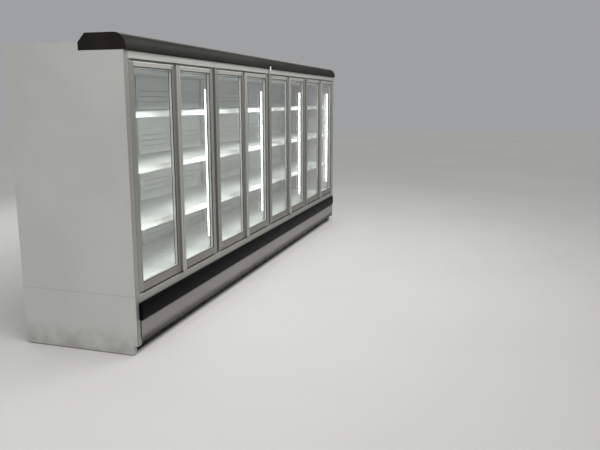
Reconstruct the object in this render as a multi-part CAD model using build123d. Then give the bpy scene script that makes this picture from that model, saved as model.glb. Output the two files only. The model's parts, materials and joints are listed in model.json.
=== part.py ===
from build123d import *
import os

# A run of two joined refrigerated shop cabinets with eight hinged glass doors.
# Millimetres. X runs along the doors, Y points to the rear, Z is up from the floor.
# The origin is on the floor, at the middle of the run's length and depth.
# Depths are given from the front plane of the closed doors, towards the rear.

# Run
CASES = 2
PAIRS_PER_CASE = 2
DOOR_PITCH = 625.0
END_PANEL_THICKNESS = 45.0
END_PANEL_OUTSET = 30.0
OVERALL_DEPTH = 880.0
FRONT_PROJECTION = 25.0
SHEET = 3.0
BEND_RADIUS = 4.0

# Heights that the rest is stacked on
SILL_TOP = 399.0
DOOR_RISE = 11.0
DOOR_HEIGHT = 1454.0
HEADER_GAP = 14.0
HEADER_HEIGHT = 47.0
CANOPY_HEIGHT = 102.0

# Doors
DOOR_THICKNESS = 34.0
MEETING_GAP = 6.0
PAIR_GAP = 50.0
STILE_WIDTH = 56.0
TOP_RAIL_HEIGHT = 30.0
BOTTOM_RAIL_HEIGHT = 56.0
DOOR_EDGE_RADIUS = 4.0
PANE_THICKNESS = 4.0
PANE_INSET = 5.0
PANE_SPACING = 14.0
PANE_BITE = 8.0
PIVOT_INSET = 16.0
PIN_DIAMETER = 10.0
PIN_CLEARANCE = 0.05
PIN_END_CLEARANCE = 0.3
GRIP_PROJECTION = 20.0
GRIP_REACH = 22.0
GRIP_WALL = 4.0
GRIP_EDGE_RADIUS = 2.0
HINGE_PLATE_WIDTH = 44.0
HINGE_PLATE_DEPTH = 34.0
HINGE_PLATE_THICKNESS = 4.0

# Door surround
GASKET_GAP = 12.0
MULLION_WIDTH = 90.0
MULLION_DEPTH = 12.0
FRAME_DEPTH = 54.0
FRAME_OVERLAP = 37.0
HEADER_WALL = 4.0
RAIL_PROJECTION = 4.0
SILL_RAIL_HEIGHT = 51.0
SILL_RAIL_THICKNESS = 5.0
LIGHT_WIDTH = 70.0
LIGHT_DEPTH = 28.0
LIGHT_FOOT_GAP = 100.0
LIGHT_HEAD_GAP = 118.0
COVER_WIDTH = 26.0
COVER_THICKNESS = 4.0

# Insulated body
UPSTAND_FRONT = 8.0
TUB_FRONT_HEIGHT = 182.0
TUB_FLOOR = 60.0
TUB_REAR_HEIGHT = 190.0
TUB_REAR_THICKNESS = 100.0
WALL_THICKNESS = 50.0
ROOF_THICKNESS = 50.0
ROOF_LAP = 3.0

# Canopy
CANOPY_PROJECTION = 22.0
CANOPY_RADIUS = 85.0
CANOPY_DEPTH = 260.0
CANOPY_SEAT = 40.0
CANOPY_LIP_RADIUS = 8.0

# Lower front
BUMPER_HEIGHT = 117.0
BUMPER_EDGE_DEPTH = 8.0
LOWER_PANEL_JOINT = 2.0
LOWER_PANEL_PROJECTION = 10.0
LOWER_PANEL_GAP = 57.0
LOWER_PANEL_RADIUS = 60.0
KICK_SETBACK = 57.0
KICK_TOP = 150.0
FLOOR_GAP = 6.0
END_TOE_DEPTH = 35.0
END_TOE_HEIGHT = 67.0

# Base
RAIL_WIDTH = 60.0
RAIL_BOTTOM = 92.0
REAR_RAIL_INSET = 60.0
FEET_PER_CASE = 3
FOOT_END_INSET = 220.0
FOOT_RADIUS = 28.0
FOOT_THICKNESS = 14.0
FOOT_CHAMFER = 4.0
FOOT_STEM_RADIUS = 9.0

# Interior
DECK_RISE = 18.0
GRILLE_DEPTH = 60.0
GRILLE_THICKNESS = 6.0
GRILLE_DROP = 6.0
GRILLE_SLOT = 8.0
GRILLE_SLOT_LENGTH = 180.0
GRILLE_MARGIN = 35.0
GRILLE_SLOT_ROWS = 2
CEILING_DROP = 100.0
DISCHARGE_DEPTH = 90.0
DISCHARGE_THICKNESS = 18.0
DUCT_DEPTH = 80.0
BACK_PANEL_THICKNESS = 6.0
UPRIGHT_WIDTH = 40.0
UPRIGHT_DEPTH = 30.0
UPRIGHT_END_INSET = 22.0
UPRIGHT_SLOTS = 12
UPRIGHT_SLOT_WIDTH = 6.0
UPRIGHT_SLOT_LENGTH = 40.0
UPRIGHT_SLOT_PITCH = 100.0
UPRIGHT_SLOT_RISE = 85.0
SHELVES_PER_CASE = 2
LOWER_SHELF_HEIGHT = 385.0
MIDDLE_SHELF_HEIGHT = 771.0
UPPER_SHELF_HEIGHT = 1137.0
SHELF_SETBACK = 135.0
SHELF_REAR_GAP = 6.0
SHELF_END_GAP = 2.0
SHELF_LIP = 38.0
SHELF_LIP_RETURN = 16.0
BRACKET_THICKNESS = 4.0
BRACKET_OFFSET = 11.0
BRACKET_NOSE_SETBACK = 25.0
BRACKET_NOSE_HEIGHT = 16.0
BRACKET_ROOT_HEIGHT = 70.0
TICKET_DEPTH = 16.0
TICKET_TILT = 7.0
TICKET_GROOVE = 3.0
TICKET_LIP = 4.0

# Lengths that follow from the sizes above
PAIRS = CASES * PAIRS_PER_CASE
CASE_LENGTH = 2 * PAIRS_PER_CASE * DOOR_PITCH
RUN_LENGTH = CASES * CASE_LENGTH
RUN_START = -RUN_LENGTH / 2
OUTER_END = RUN_LENGTH / 2 + END_PANEL_OUTSET
INNER_END = OUTER_END - END_PANEL_THICKNESS
DOOR_WIDTH = DOOR_PITCH - PAIR_GAP / 2 - MEETING_GAP / 2

# Depths that follow
DOOR_FRONT_Y = -OVERALL_DEPTH / 2 + FRONT_PROJECTION
REAR_DEPTH = OVERALL_DEPTH - FRONT_PROJECTION
FRAME_FRONT = DOOR_THICKNESS + GASKET_GAP
FRAME_REAR = FRAME_FRONT + FRAME_DEPTH
DECK_FRONT = FRAME_REAR + GRILLE_DEPTH
CEILING_FRONT = FRAME_REAR + DISCHARGE_DEPTH
BACK_PANEL_REAR = REAR_DEPTH - WALL_THICKNESS - DUCT_DEPTH
UPRIGHT_REAR = BACK_PANEL_REAR - BACK_PANEL_THICKNESS
UPRIGHT_FRONT = UPRIGHT_REAR - UPRIGHT_DEPTH

# Levels that follow
UPSTAND_TOP = SILL_TOP - SILL_RAIL_THICKNESS
TUB_BOTTOM = UPSTAND_TOP - TUB_FRONT_HEIGHT
TUB_INSIDE = TUB_BOTTOM + TUB_FLOOR
TUB_REAR_TOP = TUB_BOTTOM + TUB_REAR_HEIGHT
BUMPER_TOP = SILL_TOP - SILL_RAIL_HEIGHT
BUMPER_BOTTOM = BUMPER_TOP - BUMPER_HEIGHT
LOWER_PANEL_TOP = BUMPER_BOTTOM - LOWER_PANEL_JOINT
DECK_TOP = SILL_TOP + DECK_RISE
DOOR_BOTTOM = SILL_TOP + DOOR_RISE
DOOR_TOP = DOOR_BOTTOM + DOOR_HEIGHT
HEADER_BOTTOM = DOOR_TOP + HEADER_GAP
HEADER_TOP = HEADER_BOTTOM + HEADER_HEIGHT
FRAME_SILL_TOP = DOOR_BOTTOM + FRAME_OVERLAP
FRAME_HEAD_BOTTOM = DOOR_TOP - FRAME_OVERLAP
LIGHT_BOTTOM = FRAME_SILL_TOP + LIGHT_FOOT_GAP
LIGHT_TOP = FRAME_HEAD_BOTTOM - LIGHT_HEAD_GAP
ROOF_UNDERSIDE = HEADER_TOP - ROOF_LAP
ROOF_TOP = ROOF_UNDERSIDE + ROOF_THICKNESS
CEILING_UNDERSIDE = ROOF_UNDERSIDE - CEILING_DROP
CANOPY_TOP = HEADER_TOP + CANOPY_HEIGHT
SHELF_LEVELS = [DECK_TOP + height for height in (LOWER_SHELF_HEIGHT, MIDDLE_SHELF_HEIGHT, UPPER_SHELF_HEIGHT)]


def block(x, y, z):
    """A box from low and high limits, with y as a depth behind the door front."""
    size = (x[1] - x[0], y[1] - y[0], z[1] - z[0])
    centre = ((x[0] + x[1]) / 2, DOOR_FRONT_Y + (y[0] + y[1]) / 2, (z[0] + z[1]) / 2)
    return Pos(*centre) * Box(*size)


def along_run(section, x):
    """A section drawn as depth and height, drawn out along the run."""
    moved = Pos(DOOR_FRONT_Y, 0, 0) * section
    return extrude(Plane.YZ.offset(x[0]) * moved, amount=x[1] - x[0])


def polygon(points):
    return make_face(Polyline(*points, close=True))


def bent_sheet(points, radii, side=Side.LEFT):
    """A sheet section with rounded bends, whose outer face follows the points."""
    line = FilletPolyline(*points, radius=radii)
    return make_face(offset(line, amount=SHEET, side=side, closed=True))


def folded_sheet(points, side=Side.LEFT):
    """A sheet section with sharp folds, whose outer face follows the points."""
    line = Polyline(*points)
    return make_face(offset(line, amount=SHEET, kind=Kind.INTERSECTION, side=side, closed=True))


def case_spans():
    """The start and end of each case along the run."""
    spans = []
    for case in range(CASES):
        start = RUN_START + case * CASE_LENGTH
        end = start + CASE_LENGTH
        if case == 0:
            start = -INNER_END
        if case == CASES - 1:
            end = INNER_END
        spans.append((start, end))
    return spans


def in_each_case(section):
    return [along_run(section, span) for span in case_spans()]


def save(name, *solids):
    shape = Compound(children=list(solids)) if len(solids) > 1 else solids[0]
    export_step(shape, f"parts/{name}.step")


# Base and lower front
def foot_positions():
    places = []
    for start, end in case_spans():
        step = (end - start - 2 * FOOT_END_INSET) / (FEET_PER_CASE - 1)
        for index in range(FEET_PER_CASE):
            places.append(start + FOOT_END_INSET + index * step)
    return places


def rail_depths():
    front = KICK_SETBACK + SHEET
    rear = REAR_DEPTH - REAR_RAIL_INSET - RAIL_WIDTH
    return [(front, front + RAIL_WIDTH), (rear, rear + RAIL_WIDTH)]


def levelling_foot(x, depth):
    """A hexagonal pad, turned with a spanner, on a hexagonal stem."""
    pad = extrude(RegularPolygon(FOOT_RADIUS, 6), amount=FOOT_THICKNESS)
    pad = chamfer(pad.edges().group_by(Axis.Z)[-1], FOOT_CHAMFER)
    stem_section = Plane.XY.offset(FOOT_THICKNESS) * RegularPolygon(FOOT_STEM_RADIUS, 6)
    stem = extrude(stem_section, amount=RAIL_BOTTOM - FOOT_THICKNESS)
    return Pos(x, DOOR_FRONT_Y + depth, 0) * (pad + stem)


def levelling_feet():
    feet = []
    for low, high in rail_depths():
        for x in foot_positions():
            feet.append(levelling_foot(x, (low + high) / 2))
    return feet


def base_rails():
    rails = []
    for depths in rail_depths():
        for span in case_spans():
            rails.append(block(span, depths, (RAIL_BOTTOM, TUB_BOTTOM)))
    return rails


def kick_plates():
    depths = (KICK_SETBACK, KICK_SETBACK + SHEET)
    return [block(span, depths, (FLOOR_GAP, KICK_TOP)) for span in case_spans()]


def lower_front_panels():
    """A painted sheet that hangs below the bumper and sweeps under to the kick plate."""
    front = -LOWER_PANEL_PROJECTION
    points = [
        (UPSTAND_FRONT, LOWER_PANEL_TOP),
        (front, LOWER_PANEL_TOP),
        (front, LOWER_PANEL_GAP),
        (KICK_SETBACK, LOWER_PANEL_GAP),
    ]
    return in_each_case(bent_sheet(points, [BEND_RADIUS, LOWER_PANEL_RADIUS]))


def bumper_bands():
    middle = (BUMPER_BOTTOM + BUMPER_TOP) / 2
    edge = -FRONT_PROJECTION + BUMPER_EDGE_DEPTH
    outline = [
        Line((UPSTAND_FRONT, BUMPER_TOP), (UPSTAND_FRONT, BUMPER_BOTTOM)),
        Line((UPSTAND_FRONT, BUMPER_BOTTOM), (edge, BUMPER_BOTTOM)),
        ThreePointArc((edge, BUMPER_BOTTOM), (-FRONT_PROJECTION, middle), (edge, BUMPER_TOP)),
        Line((edge, BUMPER_TOP), (UPSTAND_FRONT, BUMPER_TOP)),
    ]
    return in_each_case(make_face(outline))


def sill_rails():
    front = -RAIL_PROJECTION
    section = polygon([
        (UPSTAND_FRONT, BUMPER_TOP),
        (front, BUMPER_TOP),
        (front, SILL_TOP),
        (FRAME_FRONT, SILL_TOP),
        (FRAME_FRONT, UPSTAND_TOP),
        (UPSTAND_FRONT, UPSTAND_TOP),
    ])
    nose = section.vertices().group_by(Axis.X)[0].sort_by(Axis.Y)[-1]
    return in_each_case(fillet(nose, RAIL_PROJECTION))


# Insulated body
def base_tubs():
    section = polygon([
        (UPSTAND_FRONT, TUB_BOTTOM),
        (UPSTAND_FRONT, UPSTAND_TOP),
        (FRAME_REAR, UPSTAND_TOP),
        (FRAME_REAR, TUB_INSIDE),
        (REAR_DEPTH - TUB_REAR_THICKNESS, TUB_INSIDE),
        (REAR_DEPTH - TUB_REAR_THICKNESS, TUB_REAR_TOP),
        (REAR_DEPTH, TUB_REAR_TOP),
        (REAR_DEPTH, TUB_BOTTOM),
    ])
    return in_each_case(section)


def rear_walls():
    depths = (REAR_DEPTH - WALL_THICKNESS, REAR_DEPTH)
    return [block(span, depths, (TUB_REAR_TOP, ROOF_TOP)) for span in case_spans()]


def roof_panels():
    depths = (FRAME_REAR, REAR_DEPTH - WALL_THICKNESS)
    return [block(span, depths, (ROOF_UNDERSIDE, ROOF_TOP)) for span in case_spans()]


def end_panel(x):
    """A side wall with a toe notch, whose top nose closes the end of the canopy."""
    front = -RAIL_PROJECTION + SHEET
    section = polygon([
        (END_TOE_DEPTH, FLOOR_GAP),
        (END_TOE_DEPTH, END_TOE_HEIGHT),
        (front, END_TOE_HEIGHT),
        (front, HEADER_TOP),
        (-CANOPY_PROJECTION, HEADER_TOP),
        (-CANOPY_PROJECTION, CANOPY_TOP),
        (CANOPY_DEPTH, CANOPY_TOP),
        (CANOPY_DEPTH + ROOF_THICKNESS, ROOF_TOP),
        (REAR_DEPTH, ROOF_TOP),
        (REAR_DEPTH, FLOOR_GAP),
    ])
    nose = section.vertices().group_by(Axis.X)[0].sort_by(Axis.Y)[-1]
    section = fillet(nose, CANOPY_RADIUS)
    lip = section.vertices().group_by(Axis.X)[0].sort_by(Axis.Y)[0]
    return along_run(fillet(lip, CANOPY_LIP_RADIUS), x)


def end_trim(x):
    """A thin strip up the front edge of an end panel, flush with the header and the sill."""
    depths = (-RAIL_PROJECTION, -RAIL_PROJECTION + SHEET)
    strip = block(x, depths, (END_TOE_HEIGHT, HEADER_TOP))
    return fillet(strip.edges().filter_by(Axis.Z).group_by(Axis.Y)[0], SHEET / 2)


def canopies():
    front = -CANOPY_PROJECTION
    points = [
        (CANOPY_SEAT, HEADER_TOP),
        (front, HEADER_TOP),
        (front, CANOPY_TOP),
        (CANOPY_DEPTH, CANOPY_TOP),
        (CANOPY_DEPTH, ROOF_TOP),
    ]
    radii = [CANOPY_LIP_RADIUS, CANOPY_RADIUS, CANOPY_LIP_RADIUS]
    return in_each_case(bent_sheet(points, radii, Side.RIGHT))


# Door surround
def header_rails():
    width = FRAME_FRONT + RAIL_PROJECTION
    outer = fillet(Rectangle(width, HEADER_HEIGHT).vertices().group_by(Axis.X)[0], RAIL_PROJECTION)
    hollow = outer - Rectangle(width - 2 * HEADER_WALL, HEADER_HEIGHT - 2 * HEADER_WALL)
    middle = (FRAME_FRONT - RAIL_PROJECTION) / 2
    return in_each_case(Pos(middle, (HEADER_BOTTOM + HEADER_TOP) / 2) * hollow)


def joint_covers():
    depths = (-RAIL_PROJECTION - COVER_THICKNESS, -RAIL_PROJECTION)
    covers = []
    for case in range(1, CASES):
        x = RUN_START + case * CASE_LENGTH
        cover = block((x - COVER_WIDTH / 2, x + COVER_WIDTH / 2), depths, (HEADER_BOTTOM, HEADER_TOP))
        covers.append(fillet(cover.edges().filter_by(Axis.Z).group_by(Axis.Y)[0], COVER_THICKNESS / 2))
    return covers


def door_frame_heads():
    depths = (FRAME_FRONT, FRAME_REAR)
    return [block(span, depths, (FRAME_HEAD_BOTTOM, HEADER_TOP)) for span in case_spans()]


def door_frame_sills():
    depths = (FRAME_FRONT, FRAME_REAR)
    return [block(span, depths, (UPSTAND_TOP, FRAME_SILL_TOP)) for span in case_spans()]


def mullion_centres():
    return [RUN_START + 2 * DOOR_PITCH * index for index in range(1, PAIRS)]


def mullion(low, high):
    return block((low, high), (FRAME_FRONT, FRAME_FRONT + MULLION_DEPTH), (FRAME_SILL_TOP, FRAME_HEAD_BOTTOM))


def mullions():
    return [mullion(x - MULLION_WIDTH / 2, x + MULLION_WIDTH / 2) for x in mullion_centres()]


def end_jambs():
    width = MULLION_WIDTH / 2
    return [mullion(-INNER_END, -INNER_END + width), mullion(INNER_END - width, INNER_END)]


def vertical_light(x):
    """A light strip with a bowed cover, on the rear of a mullion."""
    seat = DOOR_FRONT_Y + FRAME_FRONT + MULLION_DEPTH
    left = (x - LIGHT_WIDTH / 2, seat)
    right = (x + LIGHT_WIDTH / 2, seat)
    cover = make_face([Line(right, left), ThreePointArc(left, (x, seat + LIGHT_DEPTH), right)])
    return extrude(Plane.XY.offset(LIGHT_BOTTOM) * cover, amount=LIGHT_TOP - LIGHT_BOTTOM)


def mullion_lights():
    """A whole light on each mullion, and half of one on each end jamb."""
    seat = FRAME_FRONT + MULLION_DEPTH
    inside = block((-INNER_END, INNER_END), (seat, seat + LIGHT_DEPTH), (LIGHT_BOTTOM, LIGHT_TOP))
    halves = [vertical_light(x) & inside for x in (-INNER_END, INNER_END)]
    return [halves[0]] + [vertical_light(x) for x in mullion_centres()] + [halves[1]]


# Interior
def deck_trays():
    points = [
        (DECK_FRONT, TUB_INSIDE),
        (DECK_FRONT, DECK_TOP),
        (UPRIGHT_FRONT, DECK_TOP),
        (UPRIGHT_FRONT, TUB_INSIDE),
    ]
    return in_each_case(folded_sheet(points, Side.RIGHT))


def air_intake_grilles():
    top = DECK_TOP - GRILLE_DROP
    pitches = (GRILLE_SLOT_LENGTH + GRILLE_MARGIN, GRILLE_DEPTH / (GRILLE_SLOT_ROWS + 1))
    cutter = Box(GRILLE_SLOT_LENGTH, GRILLE_SLOT, 2 * GRILLE_THICKNESS)
    grilles = []
    for span in case_spans():
        plate = block(span, (FRAME_REAR, DECK_FRONT), (top - GRILLE_THICKNESS, top))
        count = int((span[1] - span[0] - GRILLE_MARGIN) // pitches[0])
        centre = Pos(plate.center())
        slots = [centre * spot * cutter for spot in GridLocations(*pitches, count, GRILLE_SLOT_ROWS)]
        grilles.append(plate - slots)
    return grilles


def discharge_grilles():
    depths = (FRAME_REAR, CEILING_FRONT)
    heights = (CEILING_UNDERSIDE + SHEET, CEILING_UNDERSIDE + SHEET + DISCHARGE_THICKNESS)
    return [block(span, depths, heights) for span in case_spans()]


def inner_ceilings():
    points = [
        (CEILING_FRONT, ROOF_UNDERSIDE),
        (CEILING_FRONT, CEILING_UNDERSIDE),
        (BACK_PANEL_REAR, CEILING_UNDERSIDE),
    ]
    return in_each_case(folded_sheet(points))


def inner_back_panels():
    depths = (UPRIGHT_REAR, BACK_PANEL_REAR)
    return [block(span, depths, (TUB_INSIDE, CEILING_UNDERSIDE)) for span in case_spans()]


def upright_centres(span):
    first = span[0] + UPRIGHT_END_INSET
    step = (span[1] - span[0] - 2 * UPRIGHT_END_INSET) / SHELVES_PER_CASE
    return [first + step * index for index in range(SHELVES_PER_CASE + 1)]


def slotted_upright(x):
    half = UPRIGHT_WIDTH / 2
    post = block((x - half, x + half), (UPRIGHT_FRONT, UPRIGHT_REAR), (TUB_INSIDE, CEILING_UNDERSIDE))
    slot = Box(UPRIGHT_SLOT_WIDTH, UPRIGHT_DEPTH, UPRIGHT_SLOT_LENGTH)
    for index in range(UPRIGHT_SLOTS):
        z = DECK_TOP + UPRIGHT_SLOT_RISE + index * UPRIGHT_SLOT_PITCH
        post -= Pos(x, DOOR_FRONT_Y + UPRIGHT_FRONT, z) * slot
    return post


def shelf_uprights():
    return [slotted_upright(x) for span in case_spans() for x in upright_centres(span)]


def shelf_spans():
    spans = []
    for start, end in case_spans():
        centres = upright_centres((start, end))
        limits = [start] + centres[1:-1] + [end]
        for low, high in zip(limits, limits[1:]):
            spans.append((low + SHELF_END_GAP / 2, high - SHELF_END_GAP / 2))
    return spans


def shelves(level):
    points = [
        (UPRIGHT_FRONT - SHELF_REAR_GAP, level),
        (SHELF_SETBACK, level),
        (SHELF_SETBACK, level - SHELF_LIP),
        (SHELF_SETBACK + SHELF_LIP_RETURN, level - SHELF_LIP),
    ]
    section = folded_sheet(points)
    return [along_run(section, span) for span in shelf_spans()]


def ticket_rails():
    """A leaning strip on each shelf's front, with a groove between two lips for price tickets."""
    foot = SHELF_SETBACK - TICKET_DEPTH
    top = foot + TICKET_TILT
    slope = TICKET_TILT * TICKET_LIP / SHELF_LIP
    rails = []
    for level in SHELF_LEVELS:
        low = level - SHELF_LIP
        section = polygon([
            (SHELF_SETBACK, level),
            (top, level),
            (top - slope, level - TICKET_LIP),
            (top - slope + TICKET_GROOVE, level - TICKET_LIP),
            (foot + slope + TICKET_GROOVE, low + TICKET_LIP),
            (foot + slope, low + TICKET_LIP),
            (foot, low),
            (SHELF_SETBACK, low),
        ])
        rails += [along_run(section, span) for span in shelf_spans()]
    return rails


def bracket(x, level):
    under = level - SHEET
    nose = SHELF_SETBACK + BRACKET_NOSE_SETBACK
    section = polygon([
        (nose, under),
        (nose, under - BRACKET_NOSE_HEIGHT),
        (UPRIGHT_FRONT - BRACKET_NOSE_SETBACK, under - BRACKET_ROOT_HEIGHT),
        (UPRIGHT_FRONT, under - BRACKET_ROOT_HEIGHT),
        (UPRIGHT_FRONT, under),
    ])
    return along_run(section, (x - BRACKET_THICKNESS / 2, x + BRACKET_THICKNESS / 2))


def shelf_brackets():
    brackets = []
    for level in SHELF_LEVELS:
        for span in case_spans():
            centres = upright_centres(span)
            brackets += [bracket(x + BRACKET_OFFSET, level) for x in centres[:-1]]
            brackets += [bracket(x - BRACKET_OFFSET, level) for x in centres[1:]]
    return brackets


# Doors
def hinge_axes():
    """Each door's hinge line along the run, with 1 where it is hinged on the left."""
    axes = []
    for pair in range(PAIRS):
        meeting = RUN_START + (2 * pair + 1) * DOOR_PITCH
        reach = MEETING_GAP / 2 + DOOR_WIDTH - PIVOT_INSET
        axes.append((meeting - reach, 1))
        axes.append((meeting + reach, -1))
    return axes


def hinge_plate(x, low):
    depths = (PIVOT_INSET - HINGE_PLATE_DEPTH / 2, PIVOT_INSET + HINGE_PLATE_DEPTH / 2)
    half = HINGE_PLATE_WIDTH / 2
    plate = block((x - half, x + half), depths, (low, low + HINGE_PLATE_THICKNESS))
    bore = Cylinder(PIN_DIAMETER / 2 + PIN_CLEARANCE, 2 * HINGE_PLATE_THICKNESS)
    return plate - Pos(x, DOOR_FRONT_Y + PIVOT_INSET, low + HINGE_PLATE_THICKNESS / 2) * bore


def hinge_plates():
    plates = []
    for x, side in hinge_axes():
        plates.append(hinge_plate(x, SILL_TOP))
        plates.append(hinge_plate(x, HEADER_BOTTOM - HINGE_PLATE_THICKNESS))
    return plates


def local_block(x, y, z):
    size = (x[1] - x[0], y[1] - y[0], z[1] - z[0])
    return Pos((x[0] + x[1]) / 2, (y[0] + y[1]) / 2, (z[0] + z[1]) / 2) * Box(*size)


def pane_depths():
    """Low and high depth of each pane, from the hinge line."""
    first = -PIVOT_INSET + PANE_INSET
    second = first + PANE_THICKNESS + PANE_SPACING
    return [(first, first + PANE_THICKNESS), (second, second + PANE_THICKNESS)]


def window_limits(grow=0.0):
    """The glazed opening of a left-hinged door, from its hinge line."""
    x = (-PIVOT_INSET + STILE_WIDTH - grow, DOOR_WIDTH - PIVOT_INSET - STILE_WIDTH + grow)
    z = (DOOR_BOTTOM + BOTTOM_RAIL_HEIGHT - grow, DOOR_TOP - TOP_RAIL_HEIGHT + grow)
    return x, z


def grip():
    """The full-height pull, flush with the free edge, with its finger gap on the glass side."""
    edge = DOOR_WIDTH - PIVOT_INSET
    front = -PIVOT_INSET - GRIP_PROJECTION
    foot = -PIVOT_INSET + DOOR_EDGE_RADIUS
    section = polygon([
        (edge, foot),
        (edge, front),
        (edge - GRIP_REACH, front),
        (edge - GRIP_REACH, front + GRIP_WALL),
        (edge - GRIP_WALL, front + GRIP_WALL),
        (edge - GRIP_WALL, foot),
    ])
    outer = section.vertices().group_by(Axis.Y)[0]
    rounded = fillet(outer, GRIP_EDGE_RADIUS)
    return extrude(Plane.XY.offset(DOOR_BOTTOM) * rounded, amount=DOOR_HEIGHT)


def hinge_pin():
    lower = SILL_TOP + PIN_END_CLEARANCE
    upper = HEADER_BOTTOM - PIN_END_CLEARANCE
    bottom = Pos(0, 0, (lower + DOOR_BOTTOM) / 2) * Cylinder(PIN_DIAMETER / 2, DOOR_BOTTOM - lower)
    top = Pos(0, 0, (upper + DOOR_TOP) / 2) * Cylinder(PIN_DIAMETER / 2, upper - DOOR_TOP)
    return bottom + top


def door_frame():
    """A left-hinged door's frame, with the hinge line on the Z axis."""
    leaf = local_block(
        (-PIVOT_INSET, DOOR_WIDTH - PIVOT_INSET),
        (-PIVOT_INSET, DOOR_THICKNESS - PIVOT_INSET),
        (DOOR_BOTTOM, DOOR_TOP),
    )
    leaf = fillet(leaf.faces().sort_by(Axis.Y)[0].edges(), DOOR_EDGE_RADIUS)
    x, z = window_limits()
    leaf -= local_block(x, (-2 * PIVOT_INSET, 2 * DOOR_THICKNESS), z)
    x, z = window_limits(PANE_BITE)
    for depths in pane_depths():
        leaf -= local_block(x, depths, z)
    return leaf + grip() + hinge_pin()


def door_glass():
    x, z = window_limits(PANE_BITE)
    return [local_block(x, depths, z) for depths in pane_depths()]


def hang(solid, x, side):
    """Puts a left-hinged door's piece on its hinge line, mirrored for the other hand."""
    if side < 0:
        solid = mirror(solid, about=Plane.YZ)
    return Pos(x, DOOR_FRONT_Y + PIVOT_INSET, 0) * solid


os.makedirs("parts", exist_ok=True)

save("levelling_feet", *levelling_feet())
save("base_rails", *base_rails())
save("kick_plates", *kick_plates())
save("lower_front_panels", *lower_front_panels())
save("bumper_bands", *bumper_bands())
save("sill_rails", *sill_rails())
save("base_tubs", *base_tubs())
save("rear_walls", *rear_walls())
save("roof_panels", *roof_panels())
save("left_end_panel", end_panel((-OUTER_END, -INNER_END)))
save("right_end_panel", end_panel((INNER_END, OUTER_END)))
save("end_trims", end_trim((-OUTER_END, -INNER_END)), end_trim((INNER_END, OUTER_END)))
save("canopies", *canopies())
save("header_rails", *header_rails())
save("joint_cover", *joint_covers())
save("door_frame_heads", *door_frame_heads())
save("door_frame_sills", *door_frame_sills())
save("mullions", *mullions())
save("end_jambs", *end_jambs())
save("mullion_lights", *mullion_lights())
save("hinge_plates", *hinge_plates())
save("deck_trays", *deck_trays())
save("air_intake_grilles", *air_intake_grilles())
save("discharge_grilles", *discharge_grilles())
save("inner_ceilings", *inner_ceilings())
save("inner_back_panels", *inner_back_panels())
save("shelf_uprights", *shelf_uprights())
save("lower_shelves", *shelves(SHELF_LEVELS[0]))
save("middle_shelves", *shelves(SHELF_LEVELS[1]))
save("upper_shelves", *shelves(SHELF_LEVELS[2]))
save("shelf_brackets", *shelf_brackets())
save("ticket_rails", *ticket_rails())

frame = door_frame()
glass = door_glass()
for number, (x, side) in enumerate(hinge_axes(), start=1):
    save(f"door_{number}_frame", hang(frame, x, side))
    save(f"door_{number}_glass", *[hang(pane, x, side) for pane in glass])
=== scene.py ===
import bmesh
import bpy
import json
import math
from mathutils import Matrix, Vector


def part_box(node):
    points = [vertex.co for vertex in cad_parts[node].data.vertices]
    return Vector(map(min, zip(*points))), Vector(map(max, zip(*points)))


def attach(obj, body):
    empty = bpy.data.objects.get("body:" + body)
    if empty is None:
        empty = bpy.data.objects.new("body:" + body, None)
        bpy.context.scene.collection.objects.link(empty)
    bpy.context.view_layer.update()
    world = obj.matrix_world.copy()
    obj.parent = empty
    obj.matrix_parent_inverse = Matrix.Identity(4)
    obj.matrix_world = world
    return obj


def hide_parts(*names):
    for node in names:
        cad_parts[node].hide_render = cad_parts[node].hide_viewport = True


# The looks of a run of refrigerated shop cabinets with hinged glass doors, built round its frame.
# Metres. X runs along the doors, Y points to the rear, Z is up from the floor.

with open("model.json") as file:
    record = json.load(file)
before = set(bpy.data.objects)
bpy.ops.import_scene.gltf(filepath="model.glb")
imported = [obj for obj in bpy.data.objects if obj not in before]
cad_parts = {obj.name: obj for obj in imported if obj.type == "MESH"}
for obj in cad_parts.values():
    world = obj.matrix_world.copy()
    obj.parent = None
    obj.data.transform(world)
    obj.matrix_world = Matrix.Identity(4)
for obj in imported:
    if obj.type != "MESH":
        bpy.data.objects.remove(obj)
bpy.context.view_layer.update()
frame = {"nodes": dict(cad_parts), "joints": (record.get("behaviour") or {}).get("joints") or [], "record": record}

# Sizes of the solids that their boxes don't give
DOOR_PITCH = 0.625
MEETING_GAP = 0.006
MULLION_GAP = 0.050
STILE = 0.056
TOP_RAIL = 0.030
BOTTOM_RAIL = 0.056
LEAF_THICKNESS = 0.034
PANE_BITE = 0.008
PANE_INSET = 0.005
PANE_THICKNESS = 0.004
PANE_SPACING = 0.014
PIN_RADIUS = 0.005
GRIP_REACH = 0.022
GRIP_DEPTH = 0.020
HINGE_PLATE = 0.004
LIP_RADIUS = 0.008
NOSE_RADIUS = 0.085
NOSE_DEPTH = 0.31
CANOPY_DEPTH = 0.26
TOE_DEPTH = 0.035
TOE_HEIGHT = 0.067
BUMPER_RISE = 0.008
LIGHT_RISE = 0.028
LIGHT_HALF_WIDTH = 0.035
FOOT_INSET = 0.220
BASE_RAIL_WIDTH = 0.060

# Sizes shared by what is added here
SKIN = 0.0015
HAIR = 0.0002
CASE_GAP = 0.0005
CASE_LINE = 0.003
INNER_CASE_LINE = 0.0025
SMALL_SCREW = 0.003

# Side panels
PANEL_STEP = 0.001
CAP_RISE = 0.001
SEAM = 0.002
PLUG_DEPTHS = (0.10, 0.76)
PLUG_HEIGHTS = (0.55, 1.15, 1.75)
PLUG_RADIUS = 0.011
PLUG_FACE_RADIUS = 0.0095
SIDE_SCREW_DEPTHS = (0.07, 0.43, 0.80)
SIDE_SCREW_FOOT = 0.10
SIDE_SCREW_DROP = 0.03

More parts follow.
